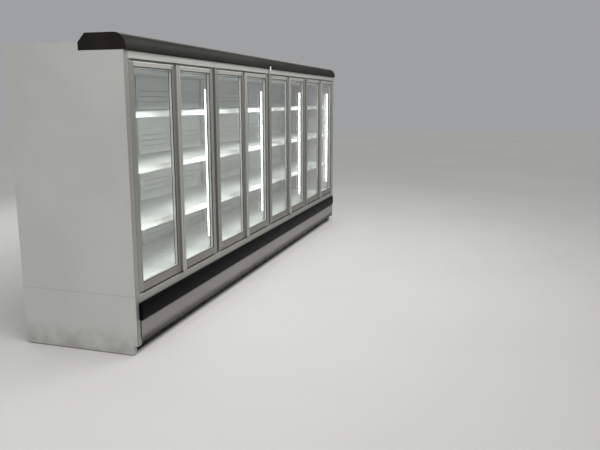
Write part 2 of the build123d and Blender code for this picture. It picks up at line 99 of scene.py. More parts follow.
# Rear and roof
BAND = 0.024
REAR_SCREW_RISE = 0.25
REAR_SCREW_PITCH = 0.3
STRIP_WIDTH = 0.020
STRIP_THICKNESS = 0.002
STRIP_SETBACK = 0.002
STRIP_SCREW_INSET = 0.03
STRIP_SCREW_PITCH = 0.12

# Interior
SLOT_LENGTH = 0.020
SLOT_HEIGHT = 0.005
SLOT_PITCH = 0.030
SLOT_RISES = (0.060, 0.105, 0.150)
HONEYCOMB_PITCH = 0.016
HONEYCOMB_WALL = 0.0015
HONEYCOMB_THICKNESS = 0.003
DECK_JOINT = 0.0012
LIGHT_CAP = 0.012

# Small parts of the front
BUMPER_CAP_STEPS = ((0.0, 0.0), (0.006, 0.0008), (0.010, 0.003), (0.012, 0.007))
CLIP_WIDTH = 0.020
CLIP_HEIGHT = 0.040
CLIP_THICKNESS = 0.002
CLIP_HOOK = 0.012
TRIM_FOOT_REACH = (0.002, 0.043)
TRIM_FOOT_HEIGHTS = (0.086, 0.117)
TRIM_FOOT_THICKNESS = 0.0015
HEADER_JOINT = 0.001
HEADER_JOINT_INSET = 0.004
NUT_RADIUS = 0.015
NUT_HEIGHT = 0.009
HINGE_SCREW_OFFSET = 0.015
MULLION_SCREW_INSETS = (0.02, 0.05)
KICK_SCREW = 0.004
KICK_SCREW_INSET = 0.1
KICK_SCREW_PITCH = 0.57
KICK_SCREW_RISE = 0.03

# Doors
GASKET_SECTION = ((0.005, 0.0), (0.005, 0.006), (0.010, 0.011), (0.014, 0.011), (0.018, 0.006), (0.018, 0.0))
WIPER_REACH = (-0.002, 0.012)
WIPER_DEPTHS = (0.0005, 0.0025)
WIPER_INSET = 0.02
OUTER_WEDGE_INSET = 0.0012
OUTER_WEDGE_WIDTHS = (0.001, 0.004)
INNER_WEDGE_INSET = 0.001
INNER_WEDGE_WIDTHS = (0.0015, 0.005)
SPACER_WIDTH = 0.006
GRIP_CAP = 0.002
GRIP_CAP_STEP = 0.0004
BUSH_PLAY = 0.0003
BUSH_REACH = 0.004
BUSH_HEIGHT = 0.005
BUTT_JOINT = 0.0006
BUTT_JOINT_INSET = 0.003

# Places taken from the frame
DOORS = range(1, len(frame["joints"]) + 1)
HINGES = {joint["child"]: joint["pos_m"] for joint in frame["joints"]}
HEADER_LOW, HEADER_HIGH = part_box("header_rails")
BUMPER_LOW, BUMPER_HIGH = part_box("bumper_bands")
REAR_LOW, REAR_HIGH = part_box("rear_walls")
DECK_LOW, DECK_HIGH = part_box("deck_trays")
CANOPY_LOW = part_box("canopies")[0]
PANEL_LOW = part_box("lower_front_panels")[0]
TRIM_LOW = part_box("end_trims")[0]
SILL_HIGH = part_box("sill_rails")[1]
ROOF_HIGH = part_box("roof_panels")[1]
DOOR_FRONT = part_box("door_1_glass")[0].y - PANE_INSET
INNER_END = REAR_HIGH.x
CASES = ((-INNER_END, -CASE_GAP), (CASE_GAP, INNER_END))
CASE_MIDDLE = 2 * DOOR_PITCH


def linear(*rgb):
    """A colour given as screen values from 0 to 255, as the renderer wants it."""
    return tuple(((c / 255 + 0.055) / 1.055) ** 2.4 if c > 10 else c / 255 / 12.92 for c in rgb) + (1.0,)


def new_object(name, data):
    made = bpy.data.objects.new(name, data)
    bpy.context.scene.collection.objects.link(made)
    return made


# Shapes
class Shape:
    """Points and faces of one piece, gathered part by part."""

    def __init__(self):
        self.points = []
        self.faces = []

    def add(self, points, faces):
        start = len(self.points)
        self.points += [tuple(point) for point in points]
        self.faces += [[start + index for index in face] for face in faces]

    def box(self, x, y, z):
        corners = [(a, b, c) for a in x for b in y for c in z]
        ends = [(0, 1, 3, 2), (4, 6, 7, 5)]
        sides = [(0, 4, 5, 1), (2, 3, 7, 6), (0, 2, 6, 4), (1, 5, 7, 3)]
        self.add(corners, ends + sides)

    def prism(self, outline, axis, low, high):
        """An outline of the two other axes, in their order, drawn out along an axis."""
        points = []
        for level in (low, high):
            for a, b in outline:
                points.append({"x": (level, a, b), "y": (a, level, b), "z": (a, b, level)}[axis])
        count = len(outline)
        faces = [list(range(count)), list(range(count, 2 * count))]
        for i in range(count):
            j = (i + 1) % count
            faces.append([i, j, count + j, count + i])
        self.add(points, faces)

    def loft(self, rings, closed_ends=True):
        """Rings of as many points each, joined one to the next."""
        count = len(rings[0])
        faces = []
        for k in range(len(rings) - 1):
            for i in range(count):
                j = (i + 1) % count
                faces.append([k * count + i, k * count + j, (k + 1) * count + j, (k + 1) * count + i])
        if closed_ends:
            faces.append(list(range(count)))
            faces.append(list(range((len(rings) - 1) * count, len(rings) * count)))
        self.add([point for ring in rings for point in ring], faces)

    def window_ring(self, x, z, section):
        """A mitred ring round a rectangle, its section given as inset and depth."""
        rings = []
        for right, top in ((0, 0), (1, 0), (1, 1), (0, 1), (0, 0)):
            ring = []
            for inset, y in section:
                ring.append((x[right] - inset * (2 * right - 1), y, z[top] - inset * (2 * top - 1)))
            rings.append(ring)
        self.loft(rings, closed_ends=False)

    def turned(self, centre, direction, profile, sides=12, closed_ends=True):
        """A profile of radius and height turned round a line through a centre."""
        up = Vector(direction)
        side = up.orthogonal().normalized()
        other = up.cross(side)
        rings = []
        for radius, height in profile:
            ring = []
            for i in range(sides):
                angle = 2 * math.pi * i / sides
                outward = side * math.cos(angle) + other * math.sin(angle)
                ring.append(Vector(centre) + up * height + outward * radius)
            rings.append(ring)
        self.loft(rings, closed_ends)

    def screw(self, centre, direction, radius=0.0035, height=0.0013):
        """A round screw head with a socket."""
        profile = [(1, 0), (0.92, 0.6), (0.66, 1), (0.42, 1), (0.38, 0.4)]
        self.turned(centre, direction, [(radius * a, height * b) for a, b in profile])

    def slotted_sheet(self, x_cuts, z_cuts, y):
        """A flat sheet cut into cells both ways, open where both counts are odd."""
        points = [(x, y, z) for z in z_cuts for x in x_cuts]
        count = len(x_cuts)
        faces = []
        for k in range(len(z_cuts) - 1):
            for i in range(count - 1):
                if i % 2 and k % 2:
                    continue
                corner = k * count + i
                faces.append([corner, corner + 1, corner + count + 1, corner + count])
        self.add(points, faces)

    def piece(self, name, material, slot, body="cabinet", bevel=0.0, thickness=0.0, smooth=False):
        """Makes the object, which rides on its body."""
        mesh = bpy.data.meshes.new(name)
        mesh.from_pydata(self.points, [], self.faces)
        solid = bmesh.new()
        solid.from_mesh(mesh)
        bmesh.ops.remove_doubles(solid, verts=solid.verts, dist=1e-6)
        bmesh.ops.recalc_face_normals(solid, faces=solid.faces)
        solid.to_mesh(mesh)
        solid.free()
        mesh.materials.append(material)
        if smooth:
            mesh.shade_smooth()
            mesh.set_sharp_from_angle(angle=math.radians(35))
        made = new_object(name, mesh)
        if thickness:
            wall = made.modifiers.new("wall", "SOLIDIFY")
            wall.thickness = thickness
            wall.offset = 0.0
        if bevel:
            edge = made.modifiers.new("edges", "BEVEL")
            edge.width = bevel
            edge.segments = 2
            edge.limit_method = "ANGLE"
        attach(made, body)
        return made


def arc(centre, radius, start, end, steps):
    """Points along an arc in a plane, with its angles in degrees."""
    points = []
    for i in range(steps + 1):
        angle = math.radians(start + (end - start) * i / steps)
        points.append((centre[0] + radius * math.cos(angle), centre[1] + radius * math.sin(angle)))
    return points


def hexagon(centre, radius, start=0):
    """Six corners, the first at an angle in degrees."""
    return arc(centre, radius, start, start + 300, 5)


def bow(half_chord, rise):
    """The radius of a shallow arc, and the angle in degrees from its middle to its end."""
    radius = (half_chord ** 2 + rise ** 2) / (2 * rise)
    return radius, math.degrees(math.atan2(half_chord, radius - rise))


def steps_between(low, high, pitch):
    """Evenly spread places from low to high, about a pitch apart."""
    count = max(1, round((high - low) / pitch))
    return [low + (high - low) * i / count for i in range(count + 1)]


def across(middle, width):
    """The two ends of a width about its middle."""
    return middle - width / 2, middle + width / 2


# Materials
GRAIN_ALONG = 0.6
GRAIN_ACROSS = 200.0
SOFT_EDGE = 0.0004


class Paint:
    """A principled material, and the nodes that its pattern is built with."""

    def __init__(self, name, roughness=0.5, metallic=0.0, **constants):
        self.material = bpy.data.materials.new(name)
        self.material.use_nodes = True
        self.tree = self.material.node_tree
        self.shader = self.tree.nodes["Principled BSDF"]
        self.set("Roughness", roughness)
        self.set("Metallic", metallic)
        for socket, value in constants.items():
            self.set(socket.replace("_", " "), value)
        self.place = self.node("ShaderNodeTexCoord")["Object"]
        self.axes = self.node("ShaderNodeSeparateXYZ", {"Vector": self.place})

    def fill(self, socket, value):
        """Links a socket to another, or sets its own value."""
        if isinstance(value, bpy.types.NodeSocket):
            self.tree.links.new(value, socket)
        else:
            socket.default_value = value

    def set(self, name, value):
        self.fill(self.shader.inputs[name], value)

    def node(self, kind, inputs=None, **settings):
        made = self.tree.nodes.new(kind)
        for key, value in settings.items():
            setattr(made, key, value)
        for key, value in (inputs or {}).items():
            self.fill(made.inputs[key], value)
        return made.outputs

    def noise(self, scale, stretch=(1, 1, 1), detail=4.0, roughness=0.55):
        place = self.node("ShaderNodeMapping", {"Vector": self.place, "Scale": stretch})["Vector"]
        inputs = {"Vector": place, "Scale": scale, "Detail": detail, "Roughness": roughness}
        return self.node("ShaderNodeTexNoise", inputs)["Fac"]

    def crystals(self, scale):
        """Patches of one random value each."""
        colour = self.node("ShaderNodeTexVoronoi", {"Vector": self.place, "Scale": scale})["Color"]
        return self.node("ShaderNodeSeparateXYZ", {"Vector": colour})["X"]

    def spread(self, value, low, high, to_low=0.0, to_high=1.0):
        """Turns a range of values smoothly into another."""
        inputs = {"Value": value, "From Min": low, "From Max": high, "To Min": to_low, "To Max": to_high}
        return self.node("ShaderNodeMapRange", inputs, clamp=True, interpolation_type="SMOOTHSTEP")["Result"]

    def combine(self, operation, a, b=0.0):
        return self.node("ShaderNodeMath", {0: a, 1: b}, operation=operation)["Value"]

    def product(self, *values):
        total = values[0]
        for value in values[1:]:
            total = self.combine("MULTIPLY", total, value)
        return total

    def mix(self, factor, a, b):
        return self.node("ShaderNodeMix", {0: factor, 6: a, 7: b}, data_type="RGBA")[2]

    def between(self, pattern, a, b):
        """From one colour to another with a noise pattern."""
        return self.mix(self.spread(pattern, 0.3, 0.7), a, b)

    def bump(self, height, distance, strength):
        inputs = {"Height": height, "Distance": distance, "Strength": strength}
        self.set("Normal", self.node("ShaderNodeBump", inputs)["Normal"])

    def upward(self, low=0.35, high=0.95):
        """1 where the surface faces up."""
        normal = self.node("ShaderNodeNewGeometry")["Normal"]
        return self.spread(self.node("ShaderNodeSeparateXYZ", {"Vector": normal})["Z"], low, high)

    def case_line(self, width=CASE_LINE):
        """1 in a narrow band where the two cases meet."""
        away = self.combine("ABSOLUTE", self.axes["X"])
        return self.spread(away, width * 0.3, width * 0.6, 1.0, 0.0)

    def near_each(self, first, period, reach):
        """1 within a reach of every place along X that a period repeats."""
        away = self.combine("PINGPONG", self.combine("SUBTRACT", self.axes["X"], first), period / 2)
        return self.spread(away, reach - SOFT_EDGE, reach + SOFT_EDGE, 1.0, 0.0)


def anodised(name, axis, dark, light):
    """Satin anodised aluminium, with faint die lines along an axis, dull and marked low down."""
    paint = Paint(name, metallic=0.75, roughness=0.42)
    stretch = [GRAIN_ACROSS] * 3
    stretch["XYZ".index(axis)] = GRAIN_ALONG
    lines = paint.noise(3.0, stretch, detail=2.0)
    cloud = paint.noise(2.2, detail=3.0)
    tone = paint.between(lines, dark, light)
    tone = paint.mix(paint.spread(cloud, 0.35, 0.75, 0.0, 0.25), tone, dark)
    patches = paint.spread(paint.noise(9.0), 0.3, 0.7, 0.4, 1.0)
    low = paint.product(paint.spread(paint.axes["Z"], 0.05, 0.75, 1.0, 0.0), patches, 0.45)
    tone = paint.mix(low, tone, linear(104, 101, 93))
    tone = paint.mix(paint.product(paint.case_line(), 0.85), tone, linear(40, 40, 38))
    paint.set("Roughness", paint.spread(lines, 0.3, 0.7, 0.36, 0.5))
    paint.bump(lines, 0.0001, 0.3)
    return paint, tone


def level_aluminium():
    """Rails along the run: the header catches more of the ceiling's light than the sill."""
    paint, tone = anodised("anodised_level", "X", linear(184, 183, 176), linear(208, 207, 200))
    sill = paint.spread(paint.axes["Z"], 0.6, 1.6, 0.75, 0.0)
    paint.set("Base Color", paint.mix(sill, tone, linear(140, 139, 133)))
    return paint.material


def upright_aluminium():
    paint, tone = anodised("anodised_upright", "Z", linear(150, 149, 143), linear(164, 163, 157))
    paint.set("Base Color", tone)
    return paint.material


def door_aluminium():
    """Door frames: stiles and grips where two doors meet are painted lighter as a highlight; rails have a level
    grain, top rails painted lighter as lit from above and bottom rails painted darker as shaded.
    """
    paint, tone = anodised("anodised_door", "Z", linear(138, 138, 131), linear(153, 153, 146))
    # Painted highlight: the meeting stiles are lighter than the rest of the frame.
    meeting = paint.near_each(DOOR_PITCH, 2 * DOOR_PITCH, MEETING_GAP / 2 + STILE)
    tone = paint.mix(paint.product(meeting, 0.8), tone, linear(160, 159, 153))
    # Painted highlight: the grips are lighter still.
    grips = paint.near_each(DOOR_PITCH, 2 * DOOR_PITCH, MEETING_GAP / 2 + GRIP_REACH)
    tone = paint.mix(paint.product(grips, 0.8), tone, linear(182, 181, 175))
    hinged = paint.near_each(0.0, 2 * DOOR_PITCH, MULLION_GAP / 2 + STILE)
    rail = paint.combine("SUBTRACT", 1.0, paint.combine("MAXIMUM", meeting, hinged))
    grain = paint.noise(3.0, (GRAIN_ALONG, GRAIN_ACROSS, GRAIN_ACROSS), detail=2.0)
    # Painted light: top rails lighter as lit from above, bottom rails darker as in shade.
    top = paint.between(grain, linear(176, 175, 168), linear(190, 189, 182))
    bottom = paint.between(grain, linear(126, 124, 117), linear(140, 138, 131))
    rails = paint.mix(paint.spread(paint.axes["Z"], 0.9, 1.4), bottom, top)
    paint.set("Base Color", paint.mix(rail, tone, rails))
    return paint.material


def dark_canopy():
    """Satin dark grey paint, lighter on its flat top only: dust, and a painted highlight of the light from above.
    """
    paint = Paint("canopy_paint", roughness=0.6, Specular_IOR_Level=0.04)
    cloud = paint.noise(3.0, (0.5, 2.0, 2.0), detail=5.0)
    tone = paint.between(cloud, linear(30, 29, 27), linear(37, 36, 33))
    dust_and_highlight_patches = paint.spread(paint.noise(11.0, detail=6.0), 0.3, 0.7, 0.75, 1.0)
    # Lighter on upward faces: dust there, and a painted highlight of the light from above.
    dust = paint.product(paint.upward(0.78, 0.97), dust_and_highlight_patches)
    tone = paint.mix(paint.product(dust, 0.7), tone, linear(124, 122, 115))
    paint.set("Base Color", paint.mix(paint.case_line(), tone, linear(15, 15, 14)))
    paint.set("Roughness", paint.spread(dust, 0.0, 1.0, 0.52, 0.85))
    paint.bump(paint.noise(900.0, detail=2.0), 0.0001, 0.25)
    return paint.material


def gloss_black():
    """Gloss black profile with trolley scuffs."""
    paint = Paint("bumper_plastic", roughness=0.34, Specular_IOR_Level=0.02)
    streaks = paint.noise(14.0, (0.35, 1.0, 14.0), detail=6.0, roughness=0.7)
    scuffs = paint.product(paint.spread(streaks, 0.58, 0.72), paint.spread(paint.noise(2.5), 0.45, 0.65))
    tone = paint.mix(paint.product(scuffs, 0.3), linear(6, 6, 7), linear(44, 42, 41))
    paint.set("Base Color", paint.mix(paint.case_line(), tone, linear(2, 2, 2)))
    paint.set("Roughness", paint.spread(streaks, 0.4, 0.7, 0.28, 0.48))
    return paint.material


def front_panel_paint():
    """Silver grey paint, scuffed, darker on the part that sweeps under: painted shade there, mottled with grime.
    """
    paint = Paint("front_panel_paint", roughness=0.42, metallic=0.15)
    cloud = paint.noise(1.8, (0.4, 1.0, 1.0), detail=4.0)
    tone = paint.between(cloud, linear(113, 111, 108), linear(122, 120, 117))
    # Painted shade on the part that sweeps under, broken up by a grime pattern.
    low = paint.spread(paint.axes["Z"], PANEL_LOW.z + 0.035, PANEL_LOW.z + 0.095, 1.0, 0.0)
    grime = paint.spread(paint.noise(16.0, (0.3, 1.0, 1.6), detail=7.0), 0.3, 0.7, 0.7, 1.0)
    low_darkening = paint.product(low, grime)
    tone = paint.mix(paint.product(low_darkening, 0.92), tone, linear(52, 49, 45))
    streaks = paint.noise(10.0, (0.3, 1.0, 16.0), detail=6.0, roughness=0.7)
    scuffs = paint.product(paint.spread(streaks, 0.6, 0.7), paint.spread(paint.noise(3.1), 0.5, 0.65))
    tone = paint.mix(paint.product(scuffs, 0.45), tone, linear(62, 60, 57))
    paint.set("Base Color", paint.mix(paint.case_line(), tone, linear(24, 24, 23)))
    paint.set("Roughness", paint.spread(low_darkening, 0.0, 1.0, 0.38, 0.75))
    paint.bump(paint.noise(420.0, detail=2.0), 0.0002, 0.2)
    return paint.material


def white_coat():
    """White powder coat, with a fine peel and grime in the low corners."""
    paint = Paint("white_powder_coat", roughness=0.42)
    cloud = paint.noise(4.0, detail=5.0)
    tone = paint.mix(paint.spread(cloud, 0.3, 0.75), linear(226, 227, 224), linear(218, 219, 215))
    low = paint.spread(paint.axes["Z"], 0.4, 0.5, 1.0, 0.0)
    low_darkening = paint.product(low, paint.spread(paint.noise(22.0, detail=7.0), 0.35, 0.7))
    tone = paint.mix(paint.product(low_darkening, 0.25), tone, linear(150, 146, 134))
    joint = paint.product(paint.case_line(INNER_CASE_LINE), 0.7)
    paint.set("Base Color", paint.mix(joint, tone, linear(70, 70, 66)))
    paint.set("Roughness", paint.spread(paint.noise(60.0), 0.3, 0.7, 0.36, 0.5))
    paint.bump(paint.noise(700.0, detail=2.0), 0.0002, 0.25)
    return paint.material


def outer_coat():
    """Light grey coated steel, with dust on top and marks near the floor."""
    paint = Paint("outer_panel_coat", roughness=0.45, metallic=0.1)
    cloud = paint.noise(1.6, detail=5.0)
    tone = paint.between(cloud, linear(187, 187, 183), linear(181, 181, 177))
    low = paint.spread(paint.axes["Z"], 0.0, 0.22, 1.0, 0.0)
    low_darkening = paint.product(low, paint.spread(paint.noise(12.0, detail=7.0), 0.3, 0.7, 0.3, 1.0))
    tone = paint.mix(paint.product(low_darkening, 0.5), tone, linear(122, 118, 110))
    dust = paint.product(paint.upward(), paint.spread(paint.noise(8.0, detail=7.0), 0.3, 0.7, 0.7, 1.0))
    tone = paint.mix(paint.product(dust, 0.55), tone, linear(146, 143, 136))
    paint.set("Base Color", tone)
    paint.set("Roughness", paint.spread(paint.combine("MAXIMUM", dust, low_darkening), 0.0, 1.0, 0.38, 0.85))
    paint.bump(paint.noise(600.0, detail=2.0), 0.0002, 0.2)
    return paint.material


def ticket_plastic():
    paint = Paint("ticket_strip_plastic", roughness=0.3)
    cloud = paint.noise(7.0, (0.5, 1.0, 1.0), detail=4.0)
    paint.set("Base Color", paint.between(cloud, linear(236, 236, 232), linear(224, 223, 216)))
    paint.set("Roughness", paint.spread(paint.noise(40.0), 0.3, 0.7, 0.25, 0.42))
    return paint.material


def lit_cover():
    """A frosted cover with the light behind it."""
    paint = Paint("light_cover", roughness=0.5)
    paint.set("Base Color", linear(240, 242, 240))
    glow = paint.spread(paint.noise(14.0, (0.1, 0.1, 1.0), detail=1.0), 0.2, 0.8)
    paint.set("Emission Color", paint.mix(glow, (0.93, 0.97, 1.0, 1.0), (1.0, 1.0, 0.98, 1.0)))
    paint.set("Emission Strength", 5.0)
    return paint.material


def black_steel():
    """Black paint, dusty towards the floor."""
    paint = Paint("black_steel_paint", roughness=0.5, Specular_IOR_Level=0.2)
    cloud = paint.noise(9.0, detail=6.0)
    dust = paint.product(paint.spread(cloud, 0.4, 0.75), paint.spread(paint.axes["Z"], 0.0, 0.1, 1.0, 0.2))
    paint.set("Base Color", paint.mix(paint.product(dust, 0.4), linear(9, 9, 9), linear(46, 44, 40)))
    paint.set("Roughness", paint.spread(dust, 0.0, 1.0, 0.42, 0.85))
    paint.bump(paint.noise(500.0, detail=2.0), 0.0002, 0.2)
    return paint.material


def zinc():
    """Zinc plate with its crystal patches."""
    paint = Paint("zinc_plate", roughness=0.35, metallic=0.9)
    tone = paint.spread(paint.crystals(160.0), 0.0, 1.0)
    paint.set("Base Color", paint.mix(tone, linear(168, 170, 170), linear(196, 198, 198)))
    paint.set("Roughness", paint.spread(tone, 0.0, 1.0, 0.28, 0.44))
    return paint.material


def mottled(name, dark, light, roughness, scale=30.0, metallic=0.0):
    """A plain finish with a faint cloud and a fine peel."""
    paint = Paint(name, roughness=roughness, metallic=metallic)
    paint.set("Base Color", paint.between(paint.noise(scale), dark, light))
    paint.bump(paint.noise(700.0), 0.0001, 0.3)
    return paint.material


def clear_glass():
    """Clear glass with faint wiping marks, which lets light through to what is behind."""
    paint = Paint("door_glass_clear", roughness=0.0, IOR=1.25, Transmission_Weight=1.0)
    paint.set("Base Color", (0.975, 0.99, 0.985, 1.0))
    marks = paint.noise(5.0, (1.0, 1.0, 0.4), detail=6.0, roughness=0.65)
    paint.set("Roughness", paint.spread(marks, 0.55, 0.85, 0.0, 0.04))
    shadow = paint.node("ShaderNodeLightPath")["Is Shadow Ray"]
    through = paint.node("ShaderNodeBsdfTransparent", {"Color": (0.97, 0.985, 0.98, 1.0)})["BSDF"]
    mixed = paint.node("ShaderNodeMixShader", {0: shadow, 1: paint.shader.outputs["BSDF"], 2: through})
    paint.fill(paint.tree.nodes["Material Output"].inputs["Surface"], mixed["Shader"])
    return paint.material


ALUMINIUM_LEVEL = level_aluminium()
ALUMINIUM_UPRIGHT = upright_aluminium()
ALUMINIUM_DOOR = door_aluminium()
CANOPY = dark_canopy()
BUMPER = gloss_black()
WHITE = white_coat()
OUTER = outer_coat()
ZINC = zinc()
RUBBER = mottled("black_rubber", linear(26, 26, 26), linear(36, 35, 34), 0.65)
DARK_PLASTIC = mottled("dark_plastic", linear(44, 44, 43), linear(54, 54, 52), 0.4)
WHITE_PLASTIC = mottled("white_plastic", linear(232, 232, 228), linear(220, 220, 214), 0.35)
SPACER = mottled("spacer_aluminium", linear(188, 188, 184), linear(202, 202, 198), 0.35, 200.0, 0.6)
DUCT_GREY = mottled("duct_grey", linear(92, 93, 92), linear(104, 105, 103), 0.6)

SLOT_MATERIALS = {
    "anodised_silver": ALUMINIUM_LEVEL,
    "canopy_grey": CANOPY,
    "bumper_black": BUMPER,
    "front_panel_grey": front_panel_paint(),
    "cabinet_white": WHITE,
    "outer_panel_grey": OUTER,
    "ticket_strip": ticket_plastic(),
    "light_cover": lit_cover(),
    "dark_steel": black_steel(),
    "zinc_steel": ZINC,
    "door_glass": clear_glass(),
}
OWN_MATERIALS = {node: ALUMINIUM_UPRIGHT for node in ("mullions", "end_jambs", "end_trims", "joint_cover")}
OWN_MATERIALS.update({f"door_{number}_frame": ALUMINIUM_DOOR for number in DOORS})
OWN_MATERIALS["discharge_grilles"] = DUCT_GREY
OWN_MATERIALS["base_tubs"] = OUTER


def dress_nodes():
    """Gives every piece of the frame its own finish, or that of its slot."""
    for part in frame["record"]["subparts"]:
        materials = frame["nodes"][part["node"]].data.materials
        materials.clear()
        materials.append(OWN_MATERIALS.get(part["node"], SLOT_MATERIALS[part["material_slot"]]))


# Sides, rear and top
def side_panel(name, side):
    """A side panel as a core with two skins and a seam between, under the canopy's dark end cap."""
    low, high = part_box(f"{name}_end_panel")
    outer = high.x if side > 0 else low.x
    inner = side * INNER_END
    face = outer - side * CAP_RISE
    under = face - side * SKIN
    front, toe, rear = DOOR_FRONT - PANEL_STEP, DOOR_FRONT + TOE_DEPTH, high.y
    nose_rear, split, seam = DOOR_FRONT + NOSE_DEPTH, HEADER_HIGH.z, SILL_HIGH.z
    foot = [(rear, low.z), (toe, low.z), (toe, TOE_HEIGHT), (front, TOE_HEIGHT)]
    top = [(nose_rear, ROOF_HIGH.z), (rear, ROOF_HIGH.z)]
    core = Shape()
    core.prism(foot + [(front, split), (nose_rear, split)] + top, "x", inner, under)
    made = core.piece(f"{name}_side_core", OUTER, "outer_panel_grey")
    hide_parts(f"{name}_end_panel")
    skins = Shape()
    skins.prism(foot + [(front, seam - SEAM / 2), (rear, seam - SEAM / 2)], "x", under, face)
    upper = [(rear, seam + SEAM / 2), (front, seam + SEAM / 2), (front, split - SEAM / 2)]
    skins.prism(upper + [(nose_rear, split - SEAM / 2)] + top, "x", under, face)
    skins.piece(f"{name}_side_skins", OUTER, "outer_panel_grey", bevel=0.0005)
    cap = Shape()
    outline = arc((low.y + LIP_RADIUS, split + LIP_RADIUS), LIP_RADIUS, 270, 180, 5)
    outline += arc((low.y + NOSE_RADIUS, high.z - NOSE_RADIUS), NOSE_RADIUS, 180, 90, 14)
    outline += [(DOOR_FRONT + CANOPY_DEPTH, high.z), (nose_rear, ROOF_HIGH.z), (nose_rear, split)]
    cap.prism(outline, "x", inner, outer)
    cap.piece(f"{name}_canopy_end_cap", CANOPY, "canopy_grey", bevel=0.001)
    side_fasteners(name, side, face, seam)


def side_fasteners(name, side, face, seam):
    """Plugs over the bolts of a side panel, and the screws of its lower skin."""
    plugs = Shape()
    profile = [(PLUG_RADIUS, 0), (PLUG_RADIUS, CAP_RISE * 0.6), (PLUG_FACE_RADIUS, CAP_RISE)]
    for depth in PLUG_DEPTHS:
        for z in PLUG_HEIGHTS:
            plugs.turned((face, DOOR_FRONT + depth, z), (side, 0, 0), profile, sides=24)
    plugs.piece(f"{name}_side_bolt_plugs", OUTER, "outer_panel_grey", smooth=True)
    screws = Shape()
    for depth in SIDE_SCREW_DEPTHS:
        for z in (SIDE_SCREW_FOOT, seam - SIDE_SCREW_DROP):
            screws.screw((face, DOOR_FRONT + depth, z), (side, 0, 0), SMALL_SCREW, CAP_RISE)
    screws.piece(f"{name}_side_screws", ZINC, "zinc_steel", smooth=True)


def rear_skins():
    """Rear walls as cores with raised sheets, screwed along the bands between them."""
    core, sheets, screws = Shape(), Shape(), Shape()
    under = REAR_HIGH.y - SKIN
    levels = steps_between(REAR_LOW.z + BAND / 2, REAR_HIGH.z - BAND / 2, REAR_SCREW_RISE)
    sheet_z = (REAR_LOW.z + BAND, REAR_HIGH.z - BAND)
    for start, end in CASES:
        middle = (start + end) / 2
        outer = math.copysign(INNER_END - BAND / 4, middle)
        core.box((start, end), (REAR_LOW.y, under), (REAR_LOW.z, REAR_HIGH.z))
        for low, high in ((start, middle), (middle, end)):
            sheets.box((low + BAND / 2, high - BAND / 2), (under, REAR_HIGH.y), sheet_z)
            for x in steps_between(low + BAND, high - BAND, REAR_SCREW_PITCH):
                for z in (levels[0], levels[-1]):
                    screws.screw((x, under, z), (0, 1, 0))
        for z in levels[1:-1]:
            screws.screw((middle, under, z), (0, 1, 0))
            screws.screw((outer, under, z), (0, 1, 0), SMALL_SCREW)
    made = core.piece("rear_wall_cores", OUTER, "outer_panel_grey")
    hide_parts("rear_walls")
    sheets.piece("rear_wall_sheets", OUTER, "outer_panel_grey", bevel=0.0005)
    screws.piece("rear_wall_screws", ZINC, "zinc_steel", smooth=True)


def roof_seams():
    """Flat strips over the joints of the roof, with their screws."""
    strips, screws = Shape(), Shape()
    front, rear = DOOR_FRONT + NOSE_DEPTH + STRIP_SETBACK, REAR_HIGH.y - STRIP_SETBACK
    top = ROOF_HIGH.z + STRIP_THICKNESS
    for x in (-CASE_MIDDLE, 0.0, CASE_MIDDLE):
        strips.box(across(x, STRIP_WIDTH), (front, rear), (ROOF_HIGH.z, top))
        for y in steps_between(front + STRIP_SCREW_INSET, rear - STRIP_SCREW_INSET, STRIP_SCREW_PITCH):
            screws.screw((x, y, top), (0, 0, 1))
    strips.piece("roof_joint_strips", OUTER, "outer_panel_grey", bevel=0.0006)
    screws.piece("roof_joint_screws", ZINC, "zinc_steel", smooth=True)


# Interior
def slotted_back():
    """Inner back panels with rows of air slots over the deck and over each shelf."""
    low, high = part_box("inner_back_panels")
    floors = [DECK_HIGH.z] + [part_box(f"{level}_shelves")[1].z for level in ("lower", "middle", "upper")]
    z_cuts = [low.z]
    for floor in floors:
        for rise in SLOT_RISES:
            z_cuts += across(floor + rise, SLOT_HEIGHT)
    z_cuts.append(high.z)
    shape = Shape()
    for start, end in CASES:
        count = int((end - start - SLOT_PITCH) / SLOT_PITCH)
        first = (start + end) / 2 - (count - 1) / 2 * SLOT_PITCH
        x_cuts = [start]
        for index in range(count):
            x_cuts += across(first + index * SLOT_PITCH, SLOT_LENGTH)
        shape.slotted_sheet(x_cuts + [end], z_cuts, (low.y + high.y) / 2)
    made = shape.piece("slotted_back_panels", WHITE, "cabinet_white", thickness=high.y - low.y)
    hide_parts("inner_back_panels")


def honeycomb():
    """The cellular sheet that the cold air falls through behind the door frame's head."""
    low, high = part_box("discharge_grilles")
    z = low.z - HONEYCOMB_THICKNESS / 2
    outer = HONEYCOMB_PITCH / math.sqrt(3)
    inner = outer - HONEYCOMB_WALL
    row_pitch = HONEYCOMB_PITCH * math.sqrt(3) / 2
    rows = int((high.y - low.y - 2 * outer) / row_pitch) + 1
    first_y = (low.y + high.y) / 2 - (rows - 1) / 2 * row_pitch
    walls = [[i, (i + 1) % 6, 6 + (i + 1) % 6, 6 + i] for i in range(6)]
    shape = Shape()
    for start, end in CASES:
        count = int((end - start) / HONEYCOMB_PITCH - 1)
        first_x = (start + end) / 2 - count / 2 * HONEYCOMB_PITCH + HONEYCOMB_PITCH / 4
        for row in range(rows):
            y = first_y + row * row_pitch
            for index in range(count):
                x = first_x + (index + row % 2 / 2) * HONEYCOMB_PITCH
                corners = hexagon((x, y), outer, 30) + hexagon((x, y), inner, 30)
                shape.add([(a, b, z) for a, b in corners], walls)
    shape.piece("discharge_honeycomb", WHITE_PLASTIC, "cabinet_white", thickness=HONEYCOMB_THICKNESS)


